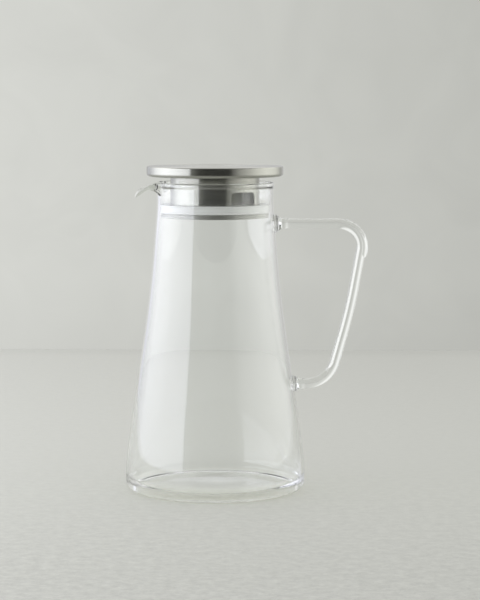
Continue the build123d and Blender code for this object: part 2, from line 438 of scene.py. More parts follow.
def surroundings():
    """The world: a pale wall for the camera, and a dim room in front of it for reflections."""
    world = bpy.data.worlds.new("studio")
    scene.world = world
    world.use_nodes = True
    tree = world.node_tree
    tree.nodes.clear()
    direction = add_node(tree, "ShaderNodeTexCoord").outputs["Generated"]
    across, along, upward = add_node(tree, "ShaderNodeSeparateXYZ", {"Vector": direction}).outputs
    light_path = add_node(tree, "ShaderNodeLightPath")
    wall = plastered_wall(tree, direction, across, upward)
    sideways = math_node(tree, "ABSOLUTE", across)
    beside = product(
        tree, graded(tree, sideways, *wall_beside_start), graded(tree, sideways, *wall_beside_end)
    )
    paler_wall = mix_colour(tree, beside, wall, wall_beside_colour)
    wall = mix_colour(tree, bent_only(tree, light_path), wall, paler_wall)
    seeing = [light_path.outputs[kind] for kind in ("Is Camera Ray", "Is Transmission Ray")]
    shown = mix_colour(tree, math_node(tree, "MAXIMUM", *seeing), fill_colour, wall)
    room = mirrored_room(tree, along, upward)
    shown = mix_colour(tree, mirrored(tree, light_path), shown, room)
    background = add_node(tree, "ShaderNodeBackground", {"Color": shown})
    output = add_node(tree, "ShaderNodeOutputWorld")
    tree.links.new(background.outputs[0], output.inputs["Surface"])
    print("surroundings", len(tree.nodes), "nodes")


surroundings()

# %% [markdown]
# ## Soft lights
#
# The two lights are large upright panels of cloth, as in a studio. A panel could be an area
# lamp, but a glowing rectangle can do three more things. It can be graded: each panel has a
# list of (place along the table, share of the full level), brightest beside the jug, and is
# dimmer at its foot, because the bands on the glass and the steel look so. It can go on below
# the table's top, to where the mirrored bands on the glass end. Only mirrored rays get there,
# so that part isn't sampled as a lamp. And it can be asked a question: a ray from the camera
# that has only gone through glass should see the wall of the room, and not a lamp that stands
# behind the jug. So the panel turns clear for those rays, for rays straight from the camera,
# and for all rays from behind.

# %% Soft lights
left_shares = [
    (-1.41, 0.0), (-1.29, 0.80), (-0.90, 0.85), (-0.50, 0.92), (0.0, 1.0), (0.30, 0.90),
    (0.65, 0.72), (0.80, 0.57), (1.0, 0.49), (1.33, 0.37), (1.65, 0.33), (2.6, 0.30),
]
right_shares = [
    (-2.3, 0.13), (-1.78, 0.24), (-1.48, 0.37), (-1.20, 0.48), (-0.81, 0.60), (-0.53, 0.75),
    (-0.30, 0.88), (0.10, 1.0), (0.32, 0.95), (0.61, 0.88), (0.97, 0.66), (1.43, 0.38),
    (1.85, 0.36), (2.6, 0.45),
]
soft_panels = [
    ("left_light", -1.2, 3.25, (0.98, 0.99, 1.08, 1), left_shares),
    ("right_light", 1.2, 2.0, (1.0, 1.0, 0.98, 1), right_shares),
]
panel_heights = (1.0, 0.0)
depths_below_table = {-1.3: 0.022, 0.8: 0.068}
panel_foot = (0.0, 0.24, 0.72, 1.0)


def panel_material(name, level, colour, shares, sampling):
    """A glowing cloth that is clear to the camera and to rays that only went through glass."""
    material, tree, output = new_material(name)
    _, _, along, height = own_place(tree)
    start, end = shares[0][0], shares[-1][0]
    places = [((way - start) / (end - start), share) for way, share in shares]
    ramp = grey_ramp(tree, graded(tree, along, start, end), places)
    strength = product(tree, ramp, graded(tree, height, *panel_foot), level)
    material.cycles.emission_sampling = sampling
    light_path = add_node(tree, "ShaderNodeLightPath")
    looked_through = product(
        tree,
        light_path.outputs["Is Transmission Ray"],
        none_of(tree, light_path, "Glossy Depth"),
        none_of(tree, light_path, "Diffuse Depth"),
    )
    from_behind = add_node(tree, "ShaderNodeNewGeometry").outputs["Backfacing"]
    unseen = math_node(tree, "MAXIMUM", looked_through, light_path.outputs["Is Camera Ray"])
    unseen = math_node(tree, "MAXIMUM", unseen, from_behind)
    glow = add_node(tree, "ShaderNodeEmission", {"Color": colour, "Strength": strength})
    clear = add_node(tree, "ShaderNodeBsdfTransparent")
    mix = add_node(
        tree, "ShaderNodeMixShader", {0: unseen, 1: glow.outputs[0], 2: clear.outputs[0]}
    )
    tree.links.new(mix.outputs[0], output.inputs["Surface"])
    return material


def soft_panel(name, x, level, colour, shares):
    """An upright glowing rectangle that faces the jug, and goes on below the table."""
    ends = (shares[0][0], shares[-1][0])
    near, far = reversed(ends) if x < 0 else ends
    foot = np.polyfit(list(depths_below_table), list(depths_below_table.values()), 1)
    corners = [(x, way, height) for height in panel_heights for way in (near, far)]
    corners += [(x, way, -float(np.polyval(foot, way))) for way in (near, far)]
    mesh = bpy.data.meshes.new(name)
    mesh.from_pydata(corners, [], [(0, 1, 3, 2), (2, 3, 5, 4)])
    for part, sampling in ((name, "FRONT"), (name + "_below", "NONE")):
        mesh.materials.append(panel_material(part, level, colour, shares, sampling))
    mesh.polygons[1].material_index = 1
    panel = bpy.data.objects.new(name, mesh)
    scene.collection.objects.link(panel)
    panel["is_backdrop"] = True
    print(name, "faces", [round(part, 1) for part in mesh.polygons[0].normal])


for soft_light in soft_panels:
    soft_panel(*soft_light)

# %% [markdown]
# ## Outlines with rounded corners
#
# Nearly every piece is round, so it is drawn as a cross-section first. Its corners get small
# roundings, because no real edge is perfectly sharp, and the rounding is what catches the
# light. A Bevel modifier could round them later, but here each corner has its own size, and
# one more row of points close to each rounding keeps the shading of the flats beside it even.

# %% Rounded outlines
corner_steps = 5
support_share = 0.3
support_limit = 0.3 * mm


def arc_points(centre, radius, start, end, steps):
    """Points on an arc, from one angle to another, both ends included."""
    angles = np.linspace(start, end, steps + 1)
    return [(centre[0] + radius * math.cos(a), centre[1] + radius * math.sin(a)) for a in angles]


def corner_arc(before, here, after, radius):
    """How the rounding of a corner lies: its reach, directions, start, centre and turn."""
    arrive = (here - before).normalized()
    leave = (after - here).normalized()
    turn = arrive.angle_signed(leave)
    reach = radius * math.tan(abs(turn) / 2)
    start = here - arrive * reach
    normal = Vector((-arrive.y, arrive.x)) * (-1 if turn > 0 else 1)
    return reach, arrive, leave, start, start + normal * radius, turn


def swung(start, centre, turn, steps):
    """The points that start passes while it turns about centre."""
    arm = start - centre
    return [centre + Matrix.Rotation(-turn * step / steps, 2) @ arm for step in range(steps + 1)]


def rounded(corners):
    """A closed outline from corners given as (radius from the axis, height, rounding)."""
    points = []
    for index, (x, z, rounding) in enumerate(corners):
        if not rounding:
            points.append((x, z))
            continue
        here = Vector((x, z))
        before = Vector(corners[index - 1][:2])
        after = Vector(corners[(index + 1) % len(corners)][:2])
        reach, arrive, leave, start, centre, turn = corner_arc(before, here, after, rounding)
        support = min(rounding, support_limit) * support_share
        points.append(tuple(start - arrive * support))
        points += [tuple(point) for point in swung(start, centre, turn, corner_steps)]
        points.append(tuple(here + leave * (reach + support)))
    return points


# %% [markdown]
# ## Turning a piece on the lathe
#
# The cross-section is copied round the axis. A curve with a Screw modifier would do, but a mesh
# made in rings gives full control over where the points lie. The same rings of faces serve for
# the bent rod later, and for the cutters of the window and the strainer.

# %% Lathe helpers
turn_steps = 288
same_place = 1e-7


def around(radius, angle, height):
    """The point at a distance from the axis, an angle round it and a height."""
    return (radius * math.cos(angle), radius * math.sin(angle), height)


def rings_of_faces(count, rings, first=0, closed=False):
    """Four-sided faces between rings of count points, which are numbered on from first."""
    faces = []
    for ring in range(rings if closed else rings - 1):
        low = first + ring * count
        high = first + (ring + 1) % rings * count
        for index in range(count):
            beside = (index + 1) % count
            faces.append((low + index, low + beside, high + beside, high + index))
    return faces


def made_piece(name, vertices, faces, crease_angle=40):
    """Makes points and faces into a smooth-shaded object with crisp creases and clean normals."""
    mesh = bpy.data.meshes.new(name)
    mesh.from_pydata(vertices, [], faces)
    mesh.validate()
    tidy = bmesh.new()
    tidy.from_mesh(mesh)
    bmesh.ops.remove_doubles(tidy, verts=tidy.verts, dist=same_place)
    bmesh.ops.recalc_face_normals(tidy, faces=tidy.faces)
    tidy.to_mesh(mesh)
    tidy.free()
    mesh.shade_smooth()
    mesh.set_sharp_from_angle(angle=math.radians(crease_angle))
    piece = bpy.data.objects.new(name, mesh)
    scene.collection.objects.link(piece)
    print(name, "has", len(mesh.polygons), "faces")
    return piece


def turned(name, outline, closed=True):
    """Copies an outline of (radius, height) round the axis. Ends on the axis close up."""
    angles = np.linspace(0, 2 * math.pi, turn_steps, endpoint=False)
    vertices = [around(radius, angle, height) for radius, height in outline for angle in angles]
    return made_piece(name, vertices, rings_of_faces(turn_steps, len(outline), closed=closed))


# %% [markdown]
# ## The glass wall
#
# The jug is blown, so outside and inside are the same curve a wall's thickness apart. Glass
# shows every fault in its surface, so the long side is a smooth curve through a few measured
# points, a clamped cubic spline that starts upright at the foot and ends upright at the
# neck. The foot is rounded outside and more so inside, and the floor is thicker.

# %% Sizes of the glass
wall = 2.2 * mm
floor_thickness = 3.2 * mm
foot_rounding = 7.7 * mm
inner_rounding = 10.4 * mm
skirt_height = 14.0 * mm
neck_radius = 46.0 * mm
neck_start = rim_height - 14.5 * mm
push_up = 0.5 * mm
side_points = [
    (skirt_height, base_radius),
    (36.0 * mm, base_radius - 1.9 * mm),
    (100.0 * mm, base_radius - 11.3 * mm),
    (rim_height - 70.5 * mm, neck_radius + 4.3 * mm),
    (rim_height - 32.5 * mm, neck_radius + 1.1 * mm),
    (neck_start, neck_radius),
]
side_rows = 120


def clamped_spline(knots, values):
    """Slopes of the smooth curve through values at knots that is level at both ends."""
    knots = np.array(knots)
    values = np.array(values)
    gaps = np.diff(knots)
    rises = np.diff(values) / gaps
    system = np.zeros((len(knots), len(knots)))
    right = np.zeros(len(knots))
    system[0, 0] = system[-1, -1] = 1
    for i in range(1, len(knots) - 1):
        system[i, i - 1 : i + 2] = gaps[i], 2 * (gaps[i - 1] + gaps[i]), gaps[i - 1]
        right[i] = 3 * (gaps[i] * rises[i - 1] + gaps[i - 1] * rises[i])
    return np.linalg.solve(system, right)


side_heights, side_radii = np.array(side_points).T
side_slopes = clamped_spline(side_heights, side_radii)


def side_radius(height):
    """The outer radius of the long side at a height between the skirt and the neck."""
    i = int(np.clip(np.searchsorted(side_heights, height) - 1, 0, len(side_heights) - 2))
    gap = side_heights[i + 1] - side_heights[i]
    t = (height - side_heights[i]) / gap
    low = (1 + 2 * t) * (1 - t) ** 2 * side_radii[i] + t * (1 - t) ** 2 * gap * side_slopes[i]
    high = t * t * (3 - 2 * t) * side_radii[i + 1] + t * t * (t - 1) * gap * side_slopes[i + 1]
    return low + high


print("radius at 150 mm", round(side_radius(150 * mm) / mm, 2), "mm")

# %% [markdown]
# ## The pulled lip
#
# A glassblower makes the lip by heating one place of the rim and drawing it out with a tool.
# It could be a separate spout joined on, but then it would show a seam that the real one
# can't have. So the rim is drawn out here too: at each angle round the neck the wall follows
# its own path, straight up on the plain rim, and at the middle of the lip up, out and down.
# Between them the path changes smoothly. The middle path is a row of bends: each one says
# where on the path it starts and ends, and how far it leans the wall over.

# %% Path of the wall at the rim
lip_half_angle = math.radians(28)
rim_swelling = 0.5 * mm
plain_length = rim_height - wall / 2 - rim_swelling - neck_start
lip_length = 31.6 * mm
lip_bends = [
    (0.28, 0.42, math.radians(90)),
    (0.42, 0.75, math.radians(26)),
    (0.70, 1.0, math.radians(50)),
]
path_steps = 72


def pull_at(angle):
    """How far the rim is drawn out: 1 in the middle of the lip, at -X, and 0 off it."""
    from_middle = abs(math.remainder(angle - math.pi, 2 * math.pi))
    share = min(from_middle / lip_half_angle, 1.0)
    return (1 + math.cos(math.pi * share)) / 2


def lip_path():
    """Middle line of the wall in the middle of the lip, as (radius, height): up, out and down."""
    points = [(neck_radius - wall / 2, neck_start)]
    step = lip_length / path_steps
    for index in range(path_steps):
        place = (index + 0.5) / path_steps
        lean = sum(bend * min(max((place - a) / (b - a), 0), 1) for a, b, bend in lip_bends)
        x, z = points[-1]
        points.append((x + step * math.sin(lean), z + step * math.cos(lean)))
    return np.array(points)


plain_places = np.linspace(0, 1, path_steps + 1)
plain_path = np.array(
    [(neck_radius - wall / 2, neck_start + plain_length * place) for place in plain_places]
)
middle_path = lip_path()
print("path of the lip ends at", [round(v / mm, 1) for v in middle_path[-1]], "mm")

# %% [markdown]
# ## Over the rim
#
# The wall's thickness is laid on both sides of its path, with a round end over the top. The
# plain rim is fire polished: its melted edge has gathered into a bead a little thicker than
# the wall. The bead runs out towards the middle of the lip. A Solidify modifier could thicken
# a single surface too, but such a bead is easier to draw than to paint as weights.

# %% Outline over the rim
swelling_start = 0.70
lip_fall = 2.0
rim_steps = 12


def ease(t):
    """Goes from 0 to 1 with a soft start and a soft end."""
    t = min(max(t, 0.0), 1.0)
    return t * t * (3 - 2 * t)


def wall_path(pull):
    """Middle line of the wall above the neck's start, and how far it leans from upright."""
    drawn = middle_path - plain_path
    path = plain_path + drawn * (pull, pull**lip_fall)
    slopes = np.gradient(path, axis=0)
    return path, np.arctan2(slopes[:, 0], slopes[:, 1])


def rim_outline(pull):
    """The wall above the neck's start at one angle: up outside, over the rim, down inside."""
    path, leans = wall_path(pull)
    places = np.linspace(0, 1, len(path))
    bead = np.array([ease((place - swelling_start) / (1 - swelling_start)) for place in places])
    half = wall / 2 + rim_swelling * (1 - pull) * bead
    across = np.column_stack([np.cos(leans), -np.sin(leans)]) * half[:, None]
    outside = [tuple(point) for point in path + across]
    inside = [tuple(point) for point in path - across]
    over = arc_points(path[-1], half[-1], -leans[-1], math.pi - leans[-1], rim_steps)
    return outside[:-1] + over + inside[-2::-1]


lip_outline = rim_outline(1.0)
lip_reach = max(radius for radius, _ in lip_outline)
lip_end = lip_outline[path_steps][1]
print("lip reaches", round(lip_reach / mm, 1), "mm, its end is at", round(lip_end / mm, 1), "mm")

# %% [markdown]
# ## Building the jug's body
#
# Below the neck every angle has the same outline, and above it the outline depends on the
# angle, but all outlines have the same number of points. So the whole body, lip included, is
# one even grid of faces wound round the axis, and no seam can show. Hand-blown glass is
# never perfectly round: the rings wander by a tenth of a millimetre in slow waves, enough to
# make the edges of the mirrored lamps waver as they do in the photograph. The underside is
# pushed up a little in its middle, so that the jug stands on a ring.

# %% Jug body
body_turn_steps = 384
foot_steps = 14
under_rings = (0.1, 0.96, 24)
inner_floor_rings = (0.92, 0.1, 14)
wobble = 0.10 * mm
wobble_waves = [(2, 21.0, 0.4), (3, 34.0, 1.7), (5, 47.0, 4.1)]
still_at_foot = 60 * mm
still_at_rim = 8 * mm
still_below_rim = 40 * mm


def lower_outline():
    """Outline below the neck: the outer half, up from the middle of the base, and the inner."""
    foot_centre = (base_radius - foot_rounding, foot_rounding)
    shares = np.linspace(*under_rings)
    outer = [(share * foot_centre[0], push_up * ease(1 - share)) for share in shares]
    outer += arc_points(foot_centre, foot_rounding, -math.pi / 2, 0, foot_steps)
    outer += [(side_radius(z), z) for z in np.linspace(skirt_height, neck_start, side_rows)[:-1]]
    inner_centre = (base_radius - wall - inner_rounding, floor_thickness + inner_rounding)
    heights = np.linspace(neck_start, skirt_height, side_rows)[1:]
    inner = [(side_radius(z) - wall, z) for z in heights]
    inner += arc_points(inner_centre, inner_rounding, 0, -math.pi / 2, foot_steps)
    shares = np.linspace(*inner_floor_rings)
    inner += [(share * inner_centre[0], floor_thickness) for share in shares]
    return outer, inner


def waver(angle, height):
    """Slow waves of hand-blown glass, still at the base and the rim."""
    calm = ease(height / still_at_foot)
    calm *= ease((rim_height - still_at_rim - height) / still_below_rim)
    waves = sum(
        math.sin(count * angle + pitch * height + start) for count, pitch, start in wobble_waves
    )
    return wobble * calm * waves / len(wobble_waves)


def glass_shell():
    """The body as one mesh: rings of the outline at every angle, closed at both middles."""
    outer, inner = lower_outline()
    vertices = []
    for angle in np.linspace(0, 2 * math.pi, body_turn_steps, endpoint=False):
        outline = outer + rim_outline(pull_at(angle)) + inner
        vertices += [around(radius + waver(angle, z), angle, z) for radius, z in outline]
    rows = len(outline)
    under_middle = len(vertices)
    inner_middle = under_middle + 1
    vertices += [(0, 0, push_up), (0, 0, floor_thickness)]
    starts = [column * rows for column in range(body_turn_steps)]
    pairs = list(zip(starts, starts[1:] + starts[:1]))
    faces = []
    for here, beside in pairs:
        for row in range(rows - 1):
            faces.append((here + row, beside + row, beside + row + 1, here + row + 1))
    for here, beside in pairs:
        faces.append((under_middle, beside, here))
        faces.append((inner_middle, here + rows - 1, beside + rows - 1))
    return made_piece("jug_glass", vertices, faces, crease_angle=60)


jug_glass = glass_shell()

# %% [markdown]
# ## Handle
#
# The handle is a bent rod of solid glass with both of its ends melted onto the wall. Its route
# is a few straight runs joined by round bends. A curve object could hold it, but points worked
# out here, a fixed step apart, also tell how far along the rod each of them lies.

# %% Handle route
rod_radius = 4.0 * mm
upper_bar_height = rim_height - 33.0 * mm
lower_bar_height = 84.0 * mm
handle_top_reach = 72.1 * mm
handle_low_reach = 27.9 * mm
grip_bow = 3.2 * mm
grip_bow_drop = 68.8 * mm
bend_radii = (18.5 * mm, 400.0 * mm, 24.0 * mm)
sunk = wall / 2
rod_step = 0.8 * mm
arc_fineness = 4


def handle_corners():
    """The corners of the route in the XZ plane: wall, top, bow of the grip, low, wall."""
    top_wall = side_radius(upper_bar_height)
    low_wall = side_radius(lower_bar_height)
    top = Vector((top_wall + handle_top_reach, upper_bar_height))
    low = Vector((low_wall + handle_low_reach, lower_bar_height))
    share = grip_bow_drop / (upper_bar_height - lower_bar_height)
    bow = top + (low - top) * share + Vector((grip_bow, 0))
    start = Vector((top_wall - sunk, upper_bar_height))
    end = Vector((low_wall - sunk, lower_bar_height))
    return [start, top, bow, low, end]


def bent_route(corners, radii, step):
    """Evenly spaced points along straight runs joined by arcs of the given radii."""
    fine = [corners[0]]
    for before, here, after, radius in zip(corners, corners[1:], corners[2:], radii):
        *_, start, centre, turn = corner_arc(before, here, after, radius)
        pieces = max(2, math.ceil(abs(turn) * radius / (step / arc_fineness)))
        fine += swung(start, centre, turn, pieces)
    fine.append(corners[-1])
    lengths = np.concatenate([[0], np.cumsum([(b - a).length for a, b in zip(fine, fine[1:])])])
    count = math.ceil(lengths[-1] / step)
    even = np.linspace(0, lengths[-1], count + 1)
    xs = np.interp(even, lengths, [p.x for p in fine])
    zs = np.interp(even, lengths, [p.y for p in fine])
    return [Vector((x, 0, z)) for x, z in zip(xs, zs)], even


print("handle bends at", [[round(v / mm, 1) for v in corner] for corner in handle_corners()[1:4]])

# %% [markdown]
# ## Rod with flared ends
#
# Where an end is melted on, the glass spreads into a small flared disc with a waist behind it.
# A curve with a bevel gives a rod of one thickness. Here the rod is swept in rings whose radius
# follows the distance from the wall, so that the flares are part of it.

# %% Handle rod
rod_sides = 40
upper_flare = {"radius": 7.5 * mm, "spread": 3.4 * mm, "bead": 0.45 * mm, "bead_at": 8.0 * mm}
lower_flare = {"radius": 6.5 * mm, "spread": 2.9 * mm, "bead": 0.35 * mm, "bead_at": 6.2 * mm}
bead_spread = 1.7 * mm


def flare_radius(distance, radius, spread, bead, bead_at):
    """Rod radius at a distance from the wall: a spread disc, a waist and a slight bead."""
    disc = (radius - rod_radius) * math.exp(-((max(distance, 0) / spread) ** 2))
    swelling = bead * math.exp(-(((distance - bead_at) / bead_spread) ** 2))
    return rod_radius + disc + swelling


def swept(name, points, radii):
    """A closed tube of round rings square to its route, which lies in the XZ plane."""
    sideways = Vector((0, 1, 0))
    vertices = []
    for index, (point, radius) in enumerate(zip(points, radii)):
        before = points[max(index - 1, 0)]
        after = points[min(index + 1, len(points) - 1)]
        up = sideways.cross((after - before).normalized())
        for side in range(rod_sides):
            angle = 2 * math.pi * side / rod_sides
            vertices.append(point + (up * math.cos(angle) + sideways * math.sin(angle)) * radius)
    rings = len(points)
    last = (rings - 1) * rod_sides
    near_end = tuple(reversed(range(rod_sides)))
    far_end = tuple(range(last, last + rod_sides))
    faces = [near_end, *rings_of_faces(rod_sides, rings), far_end]
    return made_piece(name, vertices, faces, crease_angle=60)


def handle_rod():
    """The bent rod. Near both of its ends each ring is as wide as the flare is there."""
    points, lengths = bent_route(handle_corners(), bend_radii, rod_step)
    radii = [
        max(
            flare_radius(length - sunk, **upper_flare),
            flare_radius(lengths[-1] - length - sunk, **lower_flare),
        )
        for length in lengths
    ]
    return swept("handle_rod", points, radii)


rod = handle_rod()

# %% [markdown]
# ## Thumb bead
#
# Over the outside of the top bend lies a second run of glass, melted onto the rod, that ends
# in a round drop part of the way down. It gives the thumb a hold.

# %% Thumb bead
bead_radius = 3.75 * mm
bead_stand_out = 1.9 * mm
bead_lead = 24.0 * mm
bead_run = 28.0 * mm
bead_blunt = 0.01


def thumb_bead():
    """The second run of glass: it starts inside the rod and ends in a round tip."""
    _, top, bow, _, _ = handle_corners()
    along_grip = (bow - top).normalized()
    top = top + Vector((bead_stand_out, 0))
    corners = [top - Vector((bead_lead, 0)), top, top + along_grip * bead_run]
    points, lengths = bent_route(corners, bend_radii[:1], rod_step / 2)
    tip_start = lengths[-1] - bead_radius
    radii = []
    for length in lengths:
        into_tip = max(length - tip_start, 0) / bead_radius
        radii.append(bead_radius * math.sqrt(max(1 - into_tip**2, bead_blunt)))
    return swept("thumb_bead", points, radii)


bead = thumb_bead()

# %% [markdown]
# ## Melting the glass together
#
# In the real jug the body, the rod and the bead are one piece of glass with no boundary
# inside. A Boolean union of the rod and the bead removes the surfaces that would lie hidden
# in the glass and turn it grey, and the slivers that it leaves are dissolved. The same helper
# cuts openings later. The body stays a mesh of its own, with the rod's ends sunk
# half-way into its wall: if it were joined too, light from the weld would be caught between
# the two faces of the wall, as in an optical fibre, and the welds would turn black. In a real
# weld small bubbles and strain let that light out again.

# %% One piece of glass
shortest_edge = 1e-6
weld_crease = math.radians(50)


def combined(piece, operation, other):
    """Unites a piece with another or cuts the other out of it, and removes the other."""
    step = piece.modifiers.new("step", "BOOLEAN")
    step.operation = operation
    step.solver = "EXACT"
    step.object = other
    depsgraph = bpy.context.evaluated_depsgraph_get()
    piece.data = bpy.data.meshes.new_from_object(piece.evaluated_get(depsgraph))
    piece.data.materials.clear()
    piece.modifiers.clear()
    bpy.data.objects.remove(other)


def without_slivers(mesh):
    """Dissolves edges that are too short to see, and faces that have no area."""
    tidy = bmesh.new()
    tidy.from_mesh(mesh)
    bmesh.ops.dissolve_degenerate(tidy, edges=tidy.edges, dist=shortest_edge)
    tidy.to_mesh(mesh)
    tidy.free()


combined(rod, "UNION", bead)
without_slivers(rod.data)
rod.data.set_sharp_from_angle(angle=weld_crease)
print("united handle", len(rod.data.polygons), "faces")

# %% [markdown]
# ## Clear glass
#
# The Principled shader makes glass with full transmission. Borosilicate glass bends light
# less than window glass does, so its index of refraction is 1.47. It is fire polished, so it
# has no roughness; its life comes from the shape of the surface.
#
# Light that reaches the table through glass is hard for a renderer to find, and without it
# the jug would stand in a shadow as dark as that of steel. So rays that look for light from
# elsewhere, shadow rays and diffuse rays, go straight through the glass. They are tinted a
# little, and a little more near the foot, where the glass is thick.
#
# The lip is a second glass. It is small and strongly curved, and with the full index it turns
# dark and mottled. In the lip the index falls over the first millimetres out from the neck,
# and mirrored rays go straight through, as if the lip were drawn out very thin.

# %% Glass material
glass_tint = (0.985, 0.992, 0.988, 1)
shadow_tint = (0.96, 0.965, 0.955)
foot_shadow_tint = (0.925, 0.925, 0.885)
foot_shadow_height = 7.0 * mm
bending_index = 1.47
lip_bending_index = 1.13
lip_bending_reach = 6.0 * mm
lip_start = neck_start + 9.0 * mm
lip_least_pull = 0.08
lamp_rays = ("Is Shadow Ray", "Is Diffuse Ray")


def from_axis(tree, x, y):
    """The level way from the axis to a place, and how long it is."""
    way = add_node(tree, "ShaderNodeCombineXYZ", {0: x, 1: y}).outputs[0]
    length = add_node(tree, "ShaderNodeVectorMath", {0: way}, operation="LENGTH")
    return way, length.outputs["Value"]


def glass_material(name, outer_index, pass_through):
    """Clear glass that bends by outer_index outside the neck, and lets some rays pass."""
    material, tree, output = new_material(name)
    _, x, y, height = own_place(tree)
    _, radius = from_axis(tree, x, y)
    reach = (neck_radius, neck_radius + lip_bending_reach)
    bending = graded(tree, radius, *reach, bending_index, outer_index)
    glass = add_node(
        tree,
        "ShaderNodeBsdfPrincipled",
        {"Base Color": glass_tint, "Roughness": 0.0, "IOR": bending, "Transmission Weight": 1.0},
    )
    above_foot = graded(tree, height, 0.0, foot_shadow_height)
    tint = mix_colour(tree, above_foot, foot_shadow_tint, shadow_tint)
    clear = add_node(tree, "ShaderNodeBsdfTransparent", {"Color": tint}).outputs[0]
    light_path = add_node(tree, "ShaderNodeLightPath")
    shown = glass.outputs[0]
    for ray in pass_through:
        choice = {0: light_path.outputs[ray], 1: shown, 2: clear}
        shown = add_node(tree, "ShaderNodeMixShader", choice).outputs[0]
    tree.links.new(shown, output.inputs["Surface"])
    return material


def in_the_lip(place):
    """Whether a place on the body is in the part that is drawn out."""
    outside = place.z > neck_start and place.xy.length > neck_radius + wall
    pulled = pull_at(math.atan2(place.y, place.x)) > lip_least_pull
    return pulled and (outside or place.z > lip_start)


clear_glass = glass_material("clear_glass", bending_index, lamp_rays)
drawn_glass = glass_material("drawn_glass", lip_bending_index, (*lamp_rays, "Is Glossy Ray"))
rod.data.materials.append(clear_glass)
jug_glass.data.materials.clear()
for glass in (clear_glass, drawn_glass):
    jug_glass.data.materials.append(glass)
lip_faces = [face for face in jug_glass.data.polygons if in_the_lip(face.center)]
for face in lip_faces:
    face.material_index = 1
print("lip", len(lip_faces), "faces")

# %% [markdown]
# ## Steel
#
# The lid is turned and brushed on a lathe, so its grain runs round the axis. Two things make
# it: the highlight is stretched across the grain, which the anisotropic setting does, and
# single scratches show as fine lines, which a noise does that is squeezed hard across the
# grain and drawn out along it. The noise is read at a point made of the direction from the
# axis, and of height and radius many times enlarged, so that it closes without a seam.
#
# The ring that holds the silicone from below is pressed and not brushed. It is the same steel,
# only paler and much duller.

# %% Steel material
scratch_turns = 3.0
scratch_squeeze = 9000.0
scratch_noise = {"scale": 1.0, "detail": 5.0, "Roughness": 0.7}
scratch_tones = (0.90, 1.08)
scratch_roughness = (0.85, 1.2)
scratch_depth = {"strength": 0.06, "distance": 0.1 * mm}
across_the_grain = 0.25


def steel_material(name, colour, roughness):
    """Steel with its grain running round the Z axis."""
    material, tree, output = new_material(name)
    _, x, y, z = own_place(tree)
    way, radius = from_axis(tree, x, y)
    outward = add_node(tree, "ShaderNodeVectorMath", {0: way}, operation="NORMALIZE").outputs[0]
    cos_part, sin_part, _ = add_node(tree, "ShaderNodeSeparateXYZ", {"Vector": outward}).outputs
    wound = {
        0: product(tree, cos_part, scratch_turns),
        1: product(tree, sin_part, scratch_turns),
        2: product(tree, math_node(tree, "ADD", radius, z), scratch_squeeze),
    }
    grain = add_node(tree, "ShaderNodeCombineXYZ", wound).outputs[0]
    scratches = noise(tree, grain, **scratch_noise)
    tone = graded(tree, scratches, *noise_span, *scratch_tones)
    rough = [roughness * share for share in scratch_roughness]
    steel = add_node(
        tree,
        "ShaderNodeBsdfPrincipled",
        {
            "Base Color": shaded(tree, colour, tone),
            "Metallic": 1.0,
            "Roughness": graded(tree, scratches, *noise_span, *rough),
            "Anisotropic": 1.0,
            "Anisotropic Rotation": across_the_grain,
            "Normal": bumped(tree, scratches, **scratch_depth),
            "Tangent": add_node(
                tree, "ShaderNodeTangent", direction_type="RADIAL", axis="Z"
            ).outputs[0],
        },
    )
    tree.links.new(steel.outputs[0], output.inputs["Surface"])
    return material


brushed_steel = steel_material("brushed_steel", (0.392, 0.394, 0.355), 0.22)
pressed_steel = steel_material("pressed_steel", (0.60, 0.605, 0.56), 0.70)
print("steel", len(brushed_steel.node_tree.nodes), "nodes")

# %% [markdown]
# ## Silicone
#
# The ring is milky silicone: pale, a little cool, satin, and light goes a few millimetres
# into it. Subsurface scattering gives the soft depth and a part of transmission lets what is
# behind it show as a faint shade.

# %% Silicone material
silicone_colour = (0.745, 0.755, 0.735, 1)
silicone_haze = {"scale": 120.0, "detail": 3.0}
silicone_roughness = (0.34, 0.46)
silicone_relief = {"strength": 0.05, "distance": 0.2 * mm}
silicone_index = 1.41
silicone_clearness = 0.12
silicone_softness = 0.4
silicone_depth = 3.0 * mm


def silicone_material():
    """Milky silicone: light goes into it, and a little of it goes through."""
    material, tree, output = new_material("silicone")
    place, *_ = own_place(tree)
    haze = noise(tree, place, **silicone_haze)
    milk = add_node(
        tree,
        "ShaderNodeBsdfPrincipled",
        {
            "Base Color": silicone_colour,
            "Roughness": graded(tree, haze, 0.0, 1.0, *silicone_roughness),
            "Normal": bumped(tree, haze, **silicone_relief),
            "IOR": silicone_index,
            "Transmission Weight": silicone_clearness,
            "Subsurface Weight": silicone_softness,
            "Subsurface Radius": (silicone_depth,) * 3,
            "Subsurface Scale": 1.0,
        },
    )
    tree.links.new(milk.outputs[0], output.inputs["Surface"])
    return material


milky_silicone = silicone_material()
print("silicone", len(milky_silicone.node_tree.nodes), "nodes")

# %% [markdown]
# ## Silicone ring
#
# The ring grips the neck with two small ribs, and a tongue under it sits in the steel
# channel. All its edges are soft, as moulded silicone has them.

# %% Seal ring
seal_bore = 35.5 * mm
seal_grip = seal_high.x - 0.5 * mm
seal_rib_height = 1.2 * mm
seal_foot = seal_high.z - 6.5 * mm
tongue_radius = 41.0 * mm
soft_edge = 0.3 * mm
rib_edge = 0.4 * mm

